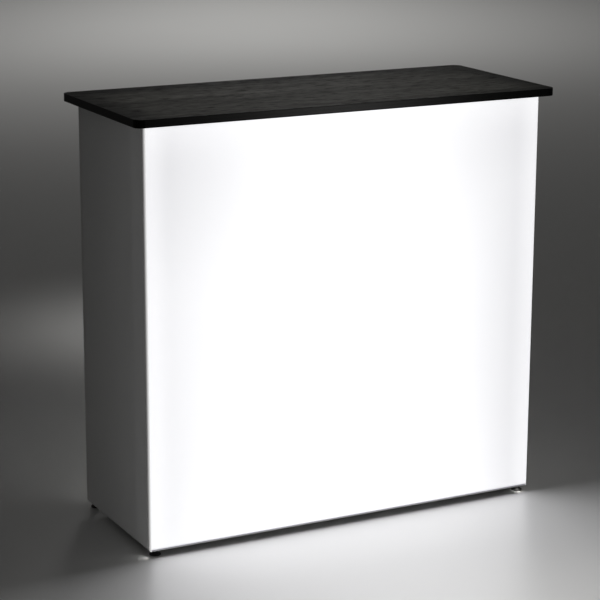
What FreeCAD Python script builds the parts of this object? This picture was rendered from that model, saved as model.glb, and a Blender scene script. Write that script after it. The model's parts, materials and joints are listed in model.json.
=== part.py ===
import FreeCAD, Part
import math
import os

# Exhibition counter with a lit fabric front, in millimetres.
# X runs along the front, Y from the front to the back, Z up from the floor.

# Frame
frame_width = 1000.0
frame_depth = 385.0
frame_height = 964.0
floor_gap = 14.0

# Extruded profile of the posts and rails, with its slots for the fabric edging
profile = 34.0
profile_wall = 2.0
lip = 1.6
slot_width = 3.6
slot_depth = 11.0
slot_web = 1.8
post_edge_radius = 1.0

# Corner blocks
spigot_length = 30.0
spigot_clearance = 0.1
pin_bore_depth = 17.0
insert_radius = 5.4
insert_length = 18.0

# Screws
frame_screw_radius = 2.5
frame_screw_length = 14.0
frame_head_radius = 4.5
frame_head_height = 2.6
panel_screw_radius = 2.0
panel_screw_length = 8.0
panel_head_radius = 3.5
panel_head_height = 2.2
screw_clearance = 0.1

# Feet
pad_radius = 13.0
pad_top_radius = 9.0
pad_height = 6.0
pad_rim_height = 2.5
pad_chamfer = 0.8
stem_radius = 3.9
stem_reach = 28.0
stem_clearance = 0.3
stem_bore_spare = 4.0
collar_across_flats = 13.0
socket_radius = 4.0
socket_depth = 3.0

# Countertop
top_overhang_side = 30.0
top_overhang_front = 27.5
top_thickness = 18.0
top_corner_radius = 20.0
band_thickness = 1.5
band_edge_radius = 0.8
pin_radius = 4.7
pin_clearance = 0.3
pin_length = 14.0
pin_chamfer = 1.5
pin_flange_radius = 9.0
pin_flange_thickness = 2.0
pin_shank_radius = 3.0
pin_shank_length = 10.0

# Fabrics and the edging sewn round them
fabric_thickness = 0.6
edging_clearance = 0.2
edging_depth = 10.4

# Shelves
shelf_thickness = 16.0
shelf_underside = 500.0
shelf_side_gap = 6.0
shelf_front_gap = 4.5
shelf_rear_gap = 8.0
shelf_rail_width = 24.0
shelf_rail_height = 30.0
shelf_rail_wall = 2.0
shelf_rail_inset = 2.0
bracket_leg = 25.0
bracket_width = 20.0
bracket_thickness = 2.0

# Light tray
tray_sheet = 1.2
tray_gap = 0.5
tray_front = 10.0
tray_back = 80.0
tray_relief_radius = 2.5
tray_relief_depth = 2.5
tray_seam = 0.4
tray_screw_depth = 22.0
tray_side_screws = 3
tray_rail_screws = 4

# Light bars
bar_width = 24.0
bar_height = 10.0
bar_wall = 1.5
bar_end_gap = 30.0
bar_depth = 45.0
board_side_gap = 0.5
board_thickness = 1.6
lens_count = 14
lens_end_gap = 20.0
lens_length = 16.0
lens_width = 13.0
lens_side_height = 4.0
lens_height = 9.0

# Power box on the back of the tray
box_width = 160.0
box_height = 66.0
box_depth = 40.0
box_wall = 2.0
box_edge_radius = 4.0
box_centre_height = 128.0
box_base_thickness = 2.5
box_ear = 16.0
box_ear_spacing = 44.0
box_offset = 8.0
driver_standoff = 4.0
driver_standoff_radius = 3.0
driver_margin = 8.0
driver_corner = 6.0
transformer_size = 28.0
transformer_height = 11.0
capacitor_radius = 6.0
capacitor_height = 10.0

# Mains inlet
inlet_offset = -34.0
inlet_flange_width = 31.0
inlet_flange_height = 24.0
inlet_flange_thickness = 3.0
inlet_body_width = 27.0
inlet_body_height = 20.0
inlet_body_depth = 17.0
inlet_recess_width = 24.4
inlet_recess_height = 16.6
inlet_recess_depth = 15.5
inlet_recess_chamfer = 4.0
inlet_corner_radius = 3.0
prong_width = 4.0
prong_thickness = 2.0
prong_pitch = 7.0
prong_drop = 2.0
prong_tip_depth = 5.5
prong_tail = 6.0

# Rocker switch
switch_offset = 38.0
switch_flange_width = 15.0
switch_flange_height = 21.0
switch_flange_thickness = 2.0
switch_corner_radius = 1.5
switch_body_width = 13.0
switch_body_height = 19.2
switch_body_depth = 14.0
rocker_radius = 7.4
rocker_width = 9.4
rocker_clearance = 0.3
rocker_pivot_depth = 2.4
rocker_valley = 3.2
rocker_peak = 5.2
rocker_under = 4.0
rocker_well_depth = 8.0
rocker_tilt = 9.0
pivot_radius = 1.2
pivot_clearance = 0.05
pivot_reach = 1.2

# Leads
lead_radius = 2.2
lead_stand_off = 16.0
lead_bend = 15.0
lead_tail = 6.0
lead_rise = 26.0
lead_slope = 32.0
lead_clearance = 0.1
lower_lead_lens = 9
upper_lead_lens = 11
upper_lead_drop = 40.0
grommet_radius = 7.0
grommet_seat_radius = 5.0
grommet_flange = 1.4
clip_length = 20.0
clip_width = 8.0
clip_wall = 1.2
clip_count = 4
clip_spacing = 130.0
notch_width = 16.0
notch_depth = 9.0

# Places that follow from the sizes above
half_width = frame_width / 2
half_depth = frame_depth / 2
frame_top = floor_gap + frame_height
slot_far = lip + slot_width
side_slot_near = slot_depth + slot_web
side_slot_far = side_slot_near + slot_width
hollow_start = slot_depth + profile_wall
corner_axis = profile / 2
spigot_low = profile_wall + spigot_clearance
spigot_high = profile - profile_wall - spigot_clearance
spigot_side = hollow_start + spigot_clearance
spigot_middle = profile + spigot_length / 2
tray_half_width = half_width - profile - tray_gap
tray_low = floor_gap + profile + tray_gap
tray_high = frame_top - profile - tray_gap
tray_front_y = tray_front - half_depth
tray_back_y = tray_back - half_depth
bar_y = bar_depth - half_depth
bar_length = 2 * (tray_half_width - tray_sheet - bar_end_gap)
lens_pitch = (bar_length - 2 * lens_end_gap - lens_length) / (lens_count - 1)
first_lens_x = lens_end_gap + lens_length / 2 - bar_length / 2
half_pitch = lens_pitch / 2  # the leads come up midway between two lenses
lower_lead_x = first_lens_x + lower_lead_lens * lens_pitch + half_pitch
upper_lead_x = first_lens_x + upper_lead_lens * lens_pitch + half_pitch
board_level = tray_sheet + bar_wall + board_thickness
box_x = upper_lead_x - box_offset
box_face_y = tray_back_y + box_base_thickness + box_depth
lead_exit_y = tray_back_y + lead_stand_off
lead_run_y = tray_back_y + clip_wall + lead_radius
upper_lead_z = tray_high - upper_lead_drop
shelf_front_y = tray_back_y + shelf_front_gap
shelf_rear_y = half_depth - profile - shelf_rear_gap
shelf_half_width = half_width - shelf_side_gap

up = FreeCAD.Vector(0, 0, 1)
backward = FreeCAD.Vector(0, 1, 0)
parallel = 0.99
sides = {"left": -1, "right": 1}
ends = {"front": -1, "rear": 1}
levels = {"bottom": -1, "top": 1}


def vec(x, y, z):
    return FreeCAD.Vector(x, y, z)


def corner_point(side, end, level, u, v, w):
    # u, v and w are measured inwards from the side, front or rear, and top or bottom faces
    z = floor_gap + w if level < 0 else frame_top - w
    return vec(side * (half_width - u), end * (half_depth - v), z)


def span(a, b):
    # box between two opposite corners, given in any order
    low = vec(min(a.x, b.x), min(a.y, b.y), min(a.z, b.z))
    return Part.makeBox(abs(a.x - b.x), abs(a.y - b.y), abs(a.z - b.z), low)


def prism(points, path):
    face = Part.Face(Part.makePolygon(points + [points[0]]))
    return face.extrude(path)


def rounded_plate(width, depth, height, radius, low_centre):
    corner = vec(low_centre.x - width / 2, low_centre.y - depth / 2, low_centre.z)
    plate = Part.makeBox(width, depth, height, corner)
    return plate.makeFillet(radius, edges_along(plate, up))


def edges_along(shape, direction):
    found = []
    for edge in shape.Edges:
        run = edge.Vertexes[-1].Point - edge.Vertexes[0].Point
        if abs(run.dot(direction)) > parallel * run.Length:
            found.append(edge)
    return found


def rod(radius, length, start, direction):
    return Part.makeCylinder(radius, length, start, direction)


def turned(points, centre, axis):
    # solid of revolution from (radius, height) points
    outline = [vec(r, 0, h) for r, h in points]
    face = Part.Face(Part.makePolygon(outline + [outline[0]]))
    solid = face.revolve(vec(0, 0, 0), up, 360)
    solid.Placement = FreeCAD.Placement(centre, FreeCAD.Rotation(up, axis))
    return solid


def group(shapes):
    return Part.makeCompound(shapes)


def post_section(side, end):
    outline = [
        (0, 0), (lip, 0), (lip, slot_depth), (slot_far, slot_depth), (slot_far, 0),
        (profile, 0), (profile, profile), (0, profile),
        (0, side_slot_far), (slot_depth, side_slot_far), (slot_depth, side_slot_near), (0, side_slot_near),
    ]
    inner = profile - profile_wall
    hollow_low = slot_far + profile_wall
    hollow = [
        (hollow_low, profile_wall), (inner, profile_wall), (inner, inner), (profile_wall, inner),
        (profile_wall, side_slot_far + profile_wall), (hollow_start, side_slot_far + profile_wall),
        (hollow_start, side_slot_near - profile_wall), (hollow_low, side_slot_near - profile_wall),
    ]
    placed = []
    for points in (outline, hollow):
        placed.append([corner_point(side, end, -1, u, v, profile) for u, v in points])
    return placed


def make_post(side, end):
    outline, hollow = post_section(side, end)
    length = up * (frame_height - 2 * profile)
    body = prism(outline, length)
    nose = [e for e in edges_along(body, up) if on_vertical(e, outline[0])]
    body = body.makeFillet(post_edge_radius, nose).cut(prism(hollow, length))
    return body.cut(group(post_holes(side, end)))


def on_vertical(edge, point):
    start = edge.Vertexes[0].Point
    return math.hypot(start.x - point.x, start.y - point.y) < lip / 2


def post_holes(side, end):
    holes = []
    for level in levels.values():
        seat, outward = block_screws(side, end, level)[0]
        holes.append(through(seat, outward, frame_screw_radius, profile_wall))
    seat, outward = bracket_screws(side, end)[0]
    holes.append(through(seat, outward, frame_screw_radius, bracket_thickness + profile_wall))
    if end < 0:
        for seat, outward in tray_side_seats(side):
            holes.append(through(seat, outward, panel_screw_radius, panel_screw_length))
    return holes


def through(seat, outward, radius, depth):
    return rod(radius + screw_clearance, 2 * depth, seat + outward * depth, outward * -1)


def rail_outline():
    # depth from the slotted face, then distance from the top or bottom face
    outline = [
        (0, 0), (profile, 0), (profile, profile), (0, profile),
        (0, slot_far), (slot_depth, slot_far), (slot_depth, lip), (0, lip),
    ]
    inner = profile - profile_wall
    step = slot_far + profile_wall
    hollow = [
        (profile_wall, step), (hollow_start, step), (hollow_start, profile_wall),
        (inner, profile_wall), (inner, inner), (profile_wall, inner),
    ]
    return outline, hollow


def make_cross_rail(end, level):
    # rail along the front or the back
    outline, hollow = [
        [corner_point(-1, end, level, profile, v, w) for v, w in points] for points in rail_outline()
    ]
    length = vec(frame_width - 2 * profile, 0, 0)
    body = prism(outline, length).cut(prism(hollow, length))
    holes = []
    for side in sides.values():
        seat, outward = block_screws(side, end, level)[1]
        holes.append(through(seat, outward, frame_screw_radius, profile_wall))
    if end < 0:
        for seat, outward in tray_rail_seats(level):
            holes.append(through(seat, outward, panel_screw_radius, panel_screw_length))
    return body.cut(group(holes))


def make_side_rail(side, level):
    outline, hollow = [
        [corner_point(side, -1, level, u, profile, w) for u, w in points] for points in rail_outline()
    ]
    length = vec(0, frame_depth - 2 * profile, 0)
    body = prism(outline, length).cut(prism(hollow, length))
    holes = []
    for end in ends.values():
        seat, outward = block_screws(side, end, level)[2]
        holes.append(through(seat, outward, frame_screw_radius, profile_wall))
    return body.cut(group(holes))


def block_screws(side, end, level):
    # one screw through the post, one through the cross rail and one through the side rail
    spigot_centre = (spigot_side + spigot_high) / 2
    inwards = vec(0, -end, 0)
    return [
        (corner_point(side, end, level, spigot_centre, profile, spigot_middle), inwards),
        (corner_point(side, end, level, spigot_middle, profile, corner_axis), inwards),
        (corner_point(side, end, level, profile, spigot_middle, corner_axis), vec(-side, 0, 0)),
    ]


def make_block(side, end, level):
    def cut_box(u0, u1, v0, v1, w0, w1):
        return span(corner_point(side, end, level, u0, v0, w0), corner_point(side, end, level, u1, v1, w1))

    reach = profile + spigot_length
    body = cut_box(0, profile, 0, profile, 0, profile)
    spigots = [
        cut_box(profile, reach, spigot_side, spigot_high, spigot_low, spigot_high),
        cut_box(spigot_side, spigot_high, profile, reach, spigot_low, spigot_high),
        cut_box(spigot_side, spigot_high, spigot_low, spigot_high, profile, reach),
    ]
    slots = [
        cut_box(lip, slot_far, 0, slot_depth, lip, profile),
        cut_box(lip, profile, 0, slot_depth, lip, slot_far),
        cut_box(0, slot_depth, side_slot_near, side_slot_far, lip, profile),
        cut_box(0, slot_depth, side_slot_near, profile, lip, slot_far),
    ]
    bores = []
    for seat, outward in block_screws(side, end, level):
        bores.append(rod(frame_screw_radius, frame_screw_length, seat, outward * -1))
    mouth = corner_point(side, end, level, corner_axis, corner_axis, 0)
    if level > 0:
        bores.append(rod(pin_radius + pin_clearance, pin_bore_depth, mouth, up * -1))
    else:
        bores.append(rod(insert_radius, insert_length, mouth, up))
        bores.append(rod(stem_radius + stem_clearance, stem_reach + stem_bore_spare, mouth, up))
    nose = [e for e in edges_along(body, up) if on_vertical(e, corner_point(side, end, level, 0, 0, 0))]
    body = body.makeFillet(post_edge_radius, nose)
    return body.fuse(spigots).removeSplitter().cut(group(slots)).cut(group(bores))


def frame_screw(seat, outward):
    shank = rod(frame_screw_radius, frame_screw_length, seat, outward * -1)
    return rod(frame_head_radius, frame_head_height, seat, outward).fuse(shank).removeSplitter()


def panel_screw(seat, outward):
    shank = rod(panel_screw_radius, panel_screw_length, seat, outward * -1)
    return rod(panel_head_radius, panel_head_height, seat, outward).fuse(shank).removeSplitter()


def every_corner():
    corners = []
    for side in sides.values():
        for end in ends.values():
            for level in levels.values():
                corners.append((side, end, level))
    return corners


def make_frame_screws():
    seats = []
    for side, end, level in every_corner():
        seats += block_screws(side, end, level)
    for side in sides.values():
        for end in ends.values():
            seats += bracket_screws(side, end)
    return group([frame_screw(seat, outward) for seat, outward in seats])


def foot_axis(side, end):
    return corner_point(side, end, -1, corner_axis, corner_axis, 0)


def make_inserts():
    sleeves = []
    for side in sides.values():
        for end in ends.values():
            mouth = foot_axis(side, end)
            sleeve = rod(insert_radius, insert_length, mouth, up)
            sleeves.append(sleeve.cut(rod(stem_radius + stem_clearance, insert_length, mouth, up)))
    return group(sleeves)


def make_pad(side, end):
    axis = foot_axis(side, end)
    outline = [
        (0, 0), (pad_radius - pad_chamfer, 0), (pad_radius, pad_chamfer), (pad_radius, pad_rim_height),
        (pad_top_radius, pad_height), (socket_radius, pad_height),
        (socket_radius, pad_height - socket_depth), (0, pad_height - socket_depth),
    ]
    return turned(outline, vec(axis.x, axis.y, 0), up)


def make_stem(side, end):
    axis = foot_axis(side, end)
    base = vec(axis.x, axis.y, pad_height)
    corner_radius = collar_across_flats / 2 / math.cos(math.pi / 6)
    hexagon = []
    for step in range(6):
        angle = step * math.pi / 3
        hexagon.append(base + vec(corner_radius * math.cos(angle), corner_radius * math.sin(angle), 0))
    collar = prism(hexagon, up * (floor_gap - pad_height))
    foot = rod(socket_radius, socket_depth, base - up * socket_depth, up)
    thread = rod(stem_radius, stem_reach, axis, up)
    return collar.fuse([foot, thread]).removeSplitter()


def top_plate(inset):
    width = frame_width + 2 * (top_overhang_side - inset)
    depth = frame_depth + 2 * (top_overhang_front - inset)
    return rounded_plate(width, depth, top_thickness, top_corner_radius - inset, vec(0, 0, frame_top))


def top_corners():
    seats = []
    for side in sides.values():
        for end in ends.values():
            seats.append(corner_point(side, end, 1, corner_axis, corner_axis, 0))
    return seats


def make_top_board():
    board = top_plate(band_thickness)
    cuts = []
    for seat in top_corners():
        cuts.append(rod(pin_flange_radius, pin_flange_thickness, seat, up))
        cuts.append(rod(pin_shank_radius, pin_flange_thickness + pin_shank_length, seat, up))
    return board.cut(group(cuts))


def make_edge_band():
    outer = top_plate(0)
    rims = []
    for face in outer.Faces:
        if abs(face.normalAt(0, 0).z) > parallel:
            rims += face.Edges
    return outer.makeFillet(band_edge_radius, rims).cut(top_plate(band_thickness))


def make_top_pins():
    shank_top = pin_flange_thickness + pin_shank_length
    outline = [
        (0, -pin_length), (pin_radius - pin_chamfer, -pin_length), (pin_radius, pin_chamfer - pin_length),
        (pin_radius, 0), (pin_flange_radius, 0), (pin_flange_radius, pin_flange_thickness),
        (pin_shank_radius, pin_flange_thickness), (pin_shank_radius, shank_top), (0, shank_top),
    ]
    return group([turned(outline, seat, up) for seat in top_corners()])


def make_front_fabric():
    low = vec(lip - half_width, -half_depth - fabric_thickness, floor_gap + lip)
    high = vec(half_width - lip, -half_depth, frame_top - lip)
    return span(low, high)


def make_side_fabric(side):
    low = vec(side * half_width, side_slot_near - half_depth, floor_gap + lip)
    high = vec(side * (half_width + fabric_thickness), half_depth - side_slot_near, frame_top - lip)
    return span(low, high)


def edging_strips(first, last, place):
    # four strips in the slots round one face: first and last are the slot walls along the face
    near = lip + edging_clearance
    far = slot_far - edging_clearance
    strips = []
    for flip in (-1, 1):
        strips.append(span(place(flip, first, 0, -1, near), place(flip, last, edging_depth, 1, near)))
        strips.append(span(place(-1, last, 0, flip, near), place(1, last, edging_depth, flip, far)))
    return group(strips)


def make_front_edging():
    def place(side, u, v, level, w):
        return corner_point(side, -1, level, u, v, w)

    return edging_strips(lip + edging_clearance, slot_far - edging_clearance, place)


def make_side_edging(side):
    def place(end, v, u, level, w):
        return corner_point(side, end, level, u, v, w)

    return edging_strips(side_slot_near + edging_clearance, side_slot_far - edging_clearance, place)


def rail_centre_u():
    return shelf_rail_inset + shelf_rail_width / 2


def make_shelf_rail(side):
    def tube(inset):
        a = corner_point(side, -1, -1, shelf_rail_inset + inset, profile, 0)
        b = corner_point(side, 1, -1, shelf_rail_inset + shelf_rail_width - inset, profile, 0)
        a.z = shelf_underside - inset
        b.z = shelf_underside - shelf_rail_height + inset
        return span(a, b)

    rail = tube(0).cut(tube(shelf_rail_wall))
    holes = []
    for end in ends.values():
        seat, outward = bracket_screws(side, end)[1]
        holes.append(through(seat, outward, frame_screw_radius, bracket_thickness + shelf_rail_wall))
    return rail.cut(group(holes))


def bracket_point(side, end, v, drop):
    point = corner_point(side, end, -1, rail_centre_u(), profile + v, 0)
    point.z = shelf_underside - shelf_rail_height - drop
    return point


def bracket_screws(side, end):
    # one screw into the post and one up into the shelf rail
    half_leg = (bracket_leg + bracket_thickness) / 2
    return [
        (bracket_point(side, end, bracket_thickness, half_leg), vec(0, -end, 0)),
        (bracket_point(side, end, half_leg, bracket_thickness), up * -1),
    ]


def make_brackets():
    brackets = []
    for side in sides.values():
        for end in ends.values():
            legs = [
                (0, 0), (bracket_leg, 0), (bracket_leg, bracket_thickness),
                (bracket_thickness, bracket_thickness), (bracket_thickness, bracket_leg), (0, bracket_leg),
            ]
            outline = [bracket_point(side, end, v, drop) - vec(bracket_width / 2, 0, 0) for v, drop in legs]
            angle = prism(outline, vec(bracket_width, 0, 0))
            holes = []
            for seat, outward in bracket_screws(side, end):
                holes.append(through(seat, outward, frame_screw_radius, bracket_thickness))
            brackets.append(angle.cut(group(holes)))
    return group(brackets)


def make_shelf(underside):
    low = vec(-shelf_half_width, shelf_front_y, underside)
    high = vec(shelf_half_width, shelf_rear_y, underside + shelf_thickness)
    return span(low, high)


def make_middle_shelf():
    # notched at the front for the lead that runs up the tray
    reach = vec(notch_width / 2, notch_depth, 0)
    centre = vec(upper_lead_x, shelf_front_y, shelf_underside)
    notch = span(centre - reach, centre + reach + up * shelf_thickness)
    return make_shelf(shelf_underside).cut(notch)


def tray_side_seats(side):
    seats = []
    step = (tray_high - tray_low) / (tray_side_screws + 1)
    x = side * (tray_half_width - tray_sheet)
    for index in range(tray_side_screws):
        place = vec(x, tray_screw_depth - half_depth, tray_low + step * (index + 1))
        seats.append((place, vec(-side, 0, 0)))
    return seats


def tray_rail_seats(level):
    seats = []
    step = 2 * tray_half_width / (tray_rail_screws + 1)
    height = tray_low + tray_sheet if level < 0 else tray_high - tray_sheet
    for index in range(tray_rail_screws):
        place = vec(step * (index + 1) - tray_half_width, tray_screw_depth - half_depth, height)
        seats.append((place, up * -level))
    return seats


def box_ear_seats():
    seats = []
    reach = (box_width + box_ear) / 2
    for across in (-reach, reach):
        for rise in (-box_ear_spacing / 2, box_ear_spacing / 2):
            seat = vec(box_x + across, tray_back_y + box_base_thickness, box_centre_height + rise)
            seats.append((seat, backward))
    return seats


def lead_entries():
    # where the two leads pass through the back of the tray
    return [vec(lower_lead_x, tray_back_y, box_centre_height), vec(upper_lead_x, tray_back_y, upper_lead_z)]


def make_tray():
    # one folded sheet, open to the front, with a relief hole and an open seam at each corner
    outer = span(vec(-tray_half_width, tray_front_y, tray_low), vec(tray_half_width, tray_back_y, tray_high))
    inner_half = tray_half_width - tray_sheet
    inner_low = vec(-inner_half, tray_front_y, tray_low + tray_sheet)
    inner = span(inner_low, vec(inner_half, tray_back_y - tray_sheet, tray_high - tray_sheet))
    cuts = []
    forward = backward * -1
    seam = tray_sheet + tray_seam
    for side in sides.values():
        for height in (tray_low, tray_high):
            corner = vec(side * tray_half_width, tray_back_y, height)
            cuts.append(rod(tray_relief_radius, tray_relief_depth, corner, forward))
            cuts.append(span(corner - vec(seam, tray_back, seam), corner + vec(seam, 0, seam)))
    for side in sides.values():
        for seat, outward in tray_side_seats(side):
            cuts.append(through(seat, outward, panel_screw_radius, tray_sheet + tray_gap))
    for level in levels.values():
        for seat, outward in tray_rail_seats(level):
            cuts.append(through(seat, outward, panel_screw_radius, tray_sheet + tray_gap))
    for seat, outward in box_ear_seats():
        cuts.append(through(seat, outward, panel_screw_radius, panel_screw_length))
    for entry in lead_entries():
        cuts.append(rod(grommet_seat_radius, tray_sheet, entry, forward))
    return outer.cut(inner).cut(group(cuts))


def make_panel_screws():
    seats = box_ear_seats()
    for side in sides.values():
        seats += tray_side_seats(side)
    for level in levels.values():
        seats += tray_rail_seats(level)
    return group([panel_screw(seat, outward) for seat, outward in seats])


def bar_point(level, x, across, rise):
    # rise is measured from the wall of the tray that carries the light bar
    z = tray_low + rise if level < 0 else tray_high - rise
    return vec(x, bar_y + across, z)


def make_light_channel(level):
    half = bar_width / 2
    inner = half - bar_wall
    section = [
        (-half, 0), (half, 0), (half, bar_height), (inner, bar_height),
        (inner, bar_wall), (-inner, bar_wall), (-inner, bar_height), (-half, bar_height),
    ]
    points = [bar_point(level, -bar_length / 2, across, tray_sheet + rise) for across, rise in section]
    return prism(points, vec(bar_length, 0, 0))


def make_light_board(level):
    half = bar_width / 2 - bar_wall - board_side_gap
    low = bar_point(level, -bar_length / 2, -half, tray_sheet + bar_wall)
    return span(low, bar_point(level, bar_length / 2, half, board_level))


def make_lens(level, x):
    half = lens_width / 2
    start = x - lens_length / 2
    shoulder = board_level + lens_side_height
    foot_a = bar_point(level, start, -half, board_level)
    foot_b = bar_point(level, start, half, board_level)
    top_a = bar_point(level, start, -half, shoulder)
    top_b = bar_point(level, start, half, shoulder)
    crown = bar_point(level, start, 0, board_level + lens_height)
    edges = [
        Part.makeLine(top_a, foot_a), Part.makeLine(foot_a, foot_b), Part.makeLine(foot_b, top_b),
        Part.Arc(top_b, crown, top_a).toShape(),
    ]
    return Part.Face(Part.Wire(edges)).extrude(vec(lens_length, 0, 0))


def make_lenses():
    lenses = []
    for level in levels.values():
        for index in range(lens_count):
            lenses.append(make_lens(level, first_lens_x + index * lens_pitch))
    return group(lenses)


def box_span(half_x, half_z, y0, y1, centre_x):
    low = vec(centre_x - half_x, y0, box_centre_height - half_z)
    return span(low, vec(centre_x + half_x, y1, box_centre_height + half_z))


def make_box_base():
    plate_end = tray_back_y + box_base_thickness
    plate = box_span(box_width / 2 + box_ear, box_height / 2, tray_back_y, plate_end, box_x)
    plate = plate.makeFillet(box_edge_radius, edges_along(plate, backward))
    cuts = []
    for seat, outward in box_ear_seats():
        cuts.append(through(seat, outward, panel_screw_radius, box_base_thickness))
    posts = []
    for place in driver_posts():
        posts.append(rod(driver_standoff_radius, driver_standoff, place, backward))
    return plate.cut(group(cuts)).fuse(posts)


def driver_half_size():
    inset = box_wall + driver_margin
    return box_width / 2 - inset, box_height / 2 - inset


def driver_posts():
    half_x, half_z = driver_half_size()
    places = []
    for x in (driver_corner - half_x, half_x - driver_corner):
        for z in (driver_corner - half_z, half_z - driver_corner):
            places.append(vec(box_x + x, tray_back_y + box_base_thickness, box_centre_height + z))
    return places


def make_driver():
    # circuit board that feeds the light bars, with its transformer and two capacitors
    half_x, half_z = driver_half_size()
    low_y = tray_back_y + box_base_thickness + driver_standoff
    high_y = low_y + board_thickness
    board = box_span(half_x, half_z, low_y, high_y, box_x)
    half_transformer = transformer_size / 2
    parts = [box_span(half_transformer, half_transformer, high_y, high_y + transformer_height, box_x)]
    for across in (transformer_size + capacitor_radius, -transformer_size - capacitor_radius):
        base = vec(box_x + across, high_y, box_centre_height)
        parts.append(rod(capacitor_radius, capacitor_height, base, backward))
    return board.fuse(parts)


def make_box_cover():
    low_y = tray_back_y + box_base_thickness
    outer = box_span(box_width / 2, box_height / 2, low_y, box_face_y, box_x)
    rounded = [e for e in outer.Edges if e.BoundBox.YMax > low_y + box_wall]
    outer = outer.makeFillet(box_edge_radius, rounded)
    inner = box_span(
        box_width / 2 - box_wall, box_height / 2 - box_wall, low_y, box_face_y - box_wall, box_x)
    inner = inner.makeFillet(box_edge_radius - box_wall, edges_along(inner, backward))
    cuts = [
        inlet_span(inlet_body_width / 2, inlet_body_height / 2, -box_wall, 0),
        switch_span(switch_body_width / 2, switch_body_height / 2, -box_wall, 0),
    ]
    for mouth, outward in lead_mouths():
        cuts.append(rod(grommet_seat_radius, box_wall, mouth, outward * -1))
    return outer.cut(inner).cut(group(cuts))


def lead_mouths():
    # where the two leads leave the cover, and which way
    left = vec(box_x - box_width / 2, lead_exit_y, box_centre_height)
    above = vec(upper_lead_x, lead_exit_y, box_centre_height + box_height / 2)
    return [(left, vec(-1, 0, 0)), (above, up)]


def inlet_span(half_x, half_z, y0, y1):
    return box_span(half_x, half_z, box_face_y + y0, box_face_y + y1, box_x + inlet_offset)


def switch_span(half_x, half_z, y0, y1):
    return box_span(half_x, half_z, box_face_y + y0, box_face_y + y1, box_x + switch_offset)


def prongs():
    # place of each prong in the recess: two below and the earth above
    return [(-prong_pitch, -prong_drop), (prong_pitch, -prong_drop), (0, prong_drop)]


def make_prong(across, rise):
    half_x = prong_thickness / 2
    half_z = prong_width / 2
    mouth = inlet_flange_thickness
    x = box_x + inlet_offset + across
    z = box_centre_height + rise
    low = vec(x - half_x, box_face_y - inlet_body_depth - prong_tail, z - half_z)
    return span(low, vec(x + half_x, box_face_y + mouth - prong_tip_depth, z + half_z))


def make_prongs():
    return group([make_prong(across, rise) for across, rise in prongs()])


def make_inlet():
    mouth = inlet_flange_thickness
    flange = inlet_span(inlet_flange_width / 2, inlet_flange_height / 2, 0, mouth)
    flange = flange.makeFillet(inlet_corner_radius, edges_along(flange, backward))
    body = inlet_span(inlet_body_width / 2, inlet_body_height / 2, -inlet_body_depth, 0)
    half_x = inlet_recess_width / 2
    half_z = inlet_recess_height / 2
    clip = inlet_recess_chamfer
    outline = [
        (-half_x, half_z), (half_x, half_z), (half_x, clip - half_z),
        (half_x - clip, -half_z), (clip - half_x, -half_z), (-half_x, clip - half_z),
    ]
    centre = vec(box_x + inlet_offset, box_face_y + mouth, box_centre_height)
    recess = prism([centre + vec(x, 0, z) for x, z in outline], backward * -inlet_recess_depth)
    return flange.fuse(body).cut(recess).cut(make_prongs())


def rocker_axis():
    mouth_y = box_face_y + switch_flange_thickness
    return vec(box_x + switch_offset, mouth_y - rocker_pivot_depth, box_centre_height)


def make_switch_frame():
    mouth = switch_flange_thickness
    flange = switch_span(switch_flange_width / 2, switch_flange_height / 2, 0, mouth)
    flange = flange.makeFillet(switch_corner_radius, edges_along(flange, backward))
    body = switch_span(switch_body_width / 2, switch_body_height / 2, -switch_body_depth, 0)
    well_half_x = rocker_width / 2 + rocker_clearance
    well_half_z = rocker_radius + rocker_clearance
    well = switch_span(well_half_x, well_half_z, mouth - rocker_well_depth, mouth)
    half_pivot = well_half_x + pivot_reach
    start = rocker_axis() - vec(half_pivot, 0, 0)
    pivot = rod(pivot_radius + pivot_clearance, 2 * half_pivot, start, vec(1, 0, 0))
    return flange.fuse(body).cut(well).cut(pivot)


def make_rocker():
    # two faces that meet in a shallow valley, with ends rounded about the pivot
    centre = rocker_axis()
    half = rocker_width / 2
    outline = [
        (-rocker_under / 2, -rocker_radius / 2), (rocker_peak, -rocker_radius), (rocker_valley, 0),
        (rocker_peak, rocker_radius), (-rocker_under / 2, rocker_radius / 2), (-rocker_under, 0),
    ]
    start = centre - vec(half, 0, 0)
    wedge = prism([start + vec(0, y, z) for y, z in outline], vec(rocker_width, 0, 0))
    wedge = wedge.common(rod(rocker_radius, rocker_width, start, vec(1, 0, 0)))
    reach = half + rocker_clearance + pivot_reach - pivot_clearance
    pivot = rod(pivot_radius, 2 * reach, centre - vec(reach, 0, 0), vec(1, 0, 0))
    rocker = wedge.fuse(pivot)
    rocker.rotate(centre, vec(1, 0, 0), rocker_tilt)
    return rocker


def bent_tube(points, bend, radius):
    # tube along straight runs joined by arcs of the bend radius
    edges = []
    start = points[0]
    for index in range(1, len(points) - 1):
        corner = points[index]
        back = (points[index - 1] - corner).normalize()
        ahead = (points[index + 1] - corner).normalize()
        half_angle = back.getAngle(ahead) / 2
        tangent = bend / math.tan(half_angle)
        entry = corner + back * tangent
        leave = corner + ahead * tangent
        bisector = (back + ahead).normalize()
        middle = corner + bisector * (bend / math.sin(half_angle) - bend)
        edges.append(Part.makeLine(start, entry))
        edges.append(Part.Arc(entry, middle, leave).toShape())
        start = leave
    edges.append(Part.makeLine(start, points[-1]))
    path = Part.Wire(edges)
    section = Part.Wire(Part.makeCircle(radius, points[0], points[1] - points[0]))
    tube = path.makePipeShell([section], True, True)
    share = tube.Volume / (math.pi * radius ** 2 * path.Length)
    print("lead of %.0f mm, volume against section times length %.4f" % (path.Length, share))
    return tube


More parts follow.
